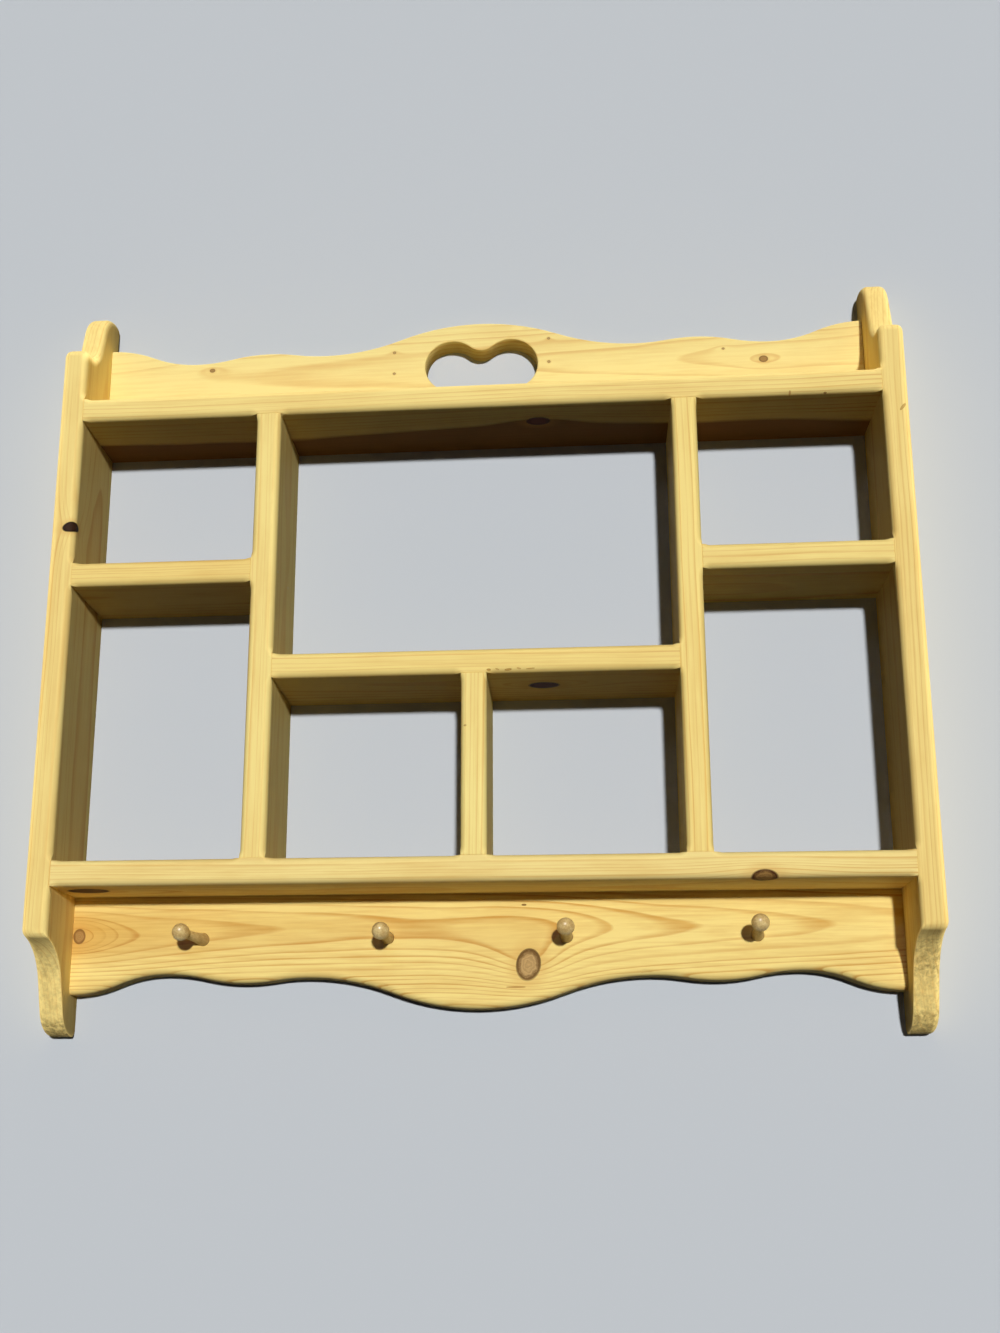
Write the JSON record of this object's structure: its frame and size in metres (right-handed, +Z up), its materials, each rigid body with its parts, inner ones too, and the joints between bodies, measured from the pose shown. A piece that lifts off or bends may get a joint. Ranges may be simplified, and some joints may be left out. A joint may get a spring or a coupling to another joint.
{
  "type": "wall shelf",
  "caption": "Pine wall shelf with open cells, scrolled top and peg rails, a cut-out heart, horned sides and turned pegs, hung on keyhole plates.",
  "frame": {"origin": "on the wall plane, midway between the round entries of the two keyhole plates", "axes": "+X to the right seen from the front, +Y into the wall, +Z up"},
  "size_m": [0.62, 0.07, 0.5659],
  "materials": {
    "pine": "satin clear varnish",
    "peg_wood": "satin clear varnish",
    "dowel_wood": "bare beech",
    "zinc_plated_steel": "bright zinc plate"
  },
  "bodies": {
    "root": {"left_side": "pine", "right_side": "pine", "top_shelf": "pine", "bottom_shelf": "pine", "middle_shelf": "pine", "left_small_shelf": "pine", "right_small_shelf": "pine", "left_divider": "pine", "right_divider": "pine", "centre_divider": "pine", "top_rail": "pine", "peg_rail": "pine", "peg_1": "peg_wood", "peg_2": "peg_wood", "peg_3": "peg_wood", "peg_4": "peg_wood", "top_shelf_dowels": "dowel_wood", "bottom_shelf_dowels": "dowel_wood", "middle_shelf_dowels": "dowel_wood", "left_small_shelf_dowels": "dowel_wood", "right_small_shelf_dowels": "dowel_wood", "left_divider_dowels": "dowel_wood", "right_divider_dowels": "dowel_wood", "centre_divider_dowels": "dowel_wood", "top_rail_dowels": "dowel_wood", "peg_rail_dowels": "dowel_wood", "left_hanger_plate": "zinc_plated_steel", "right_hanger_plate": "zinc_plated_steel", "hanger_screws": "zinc_plated_steel"}
  },
  "joints": []
}
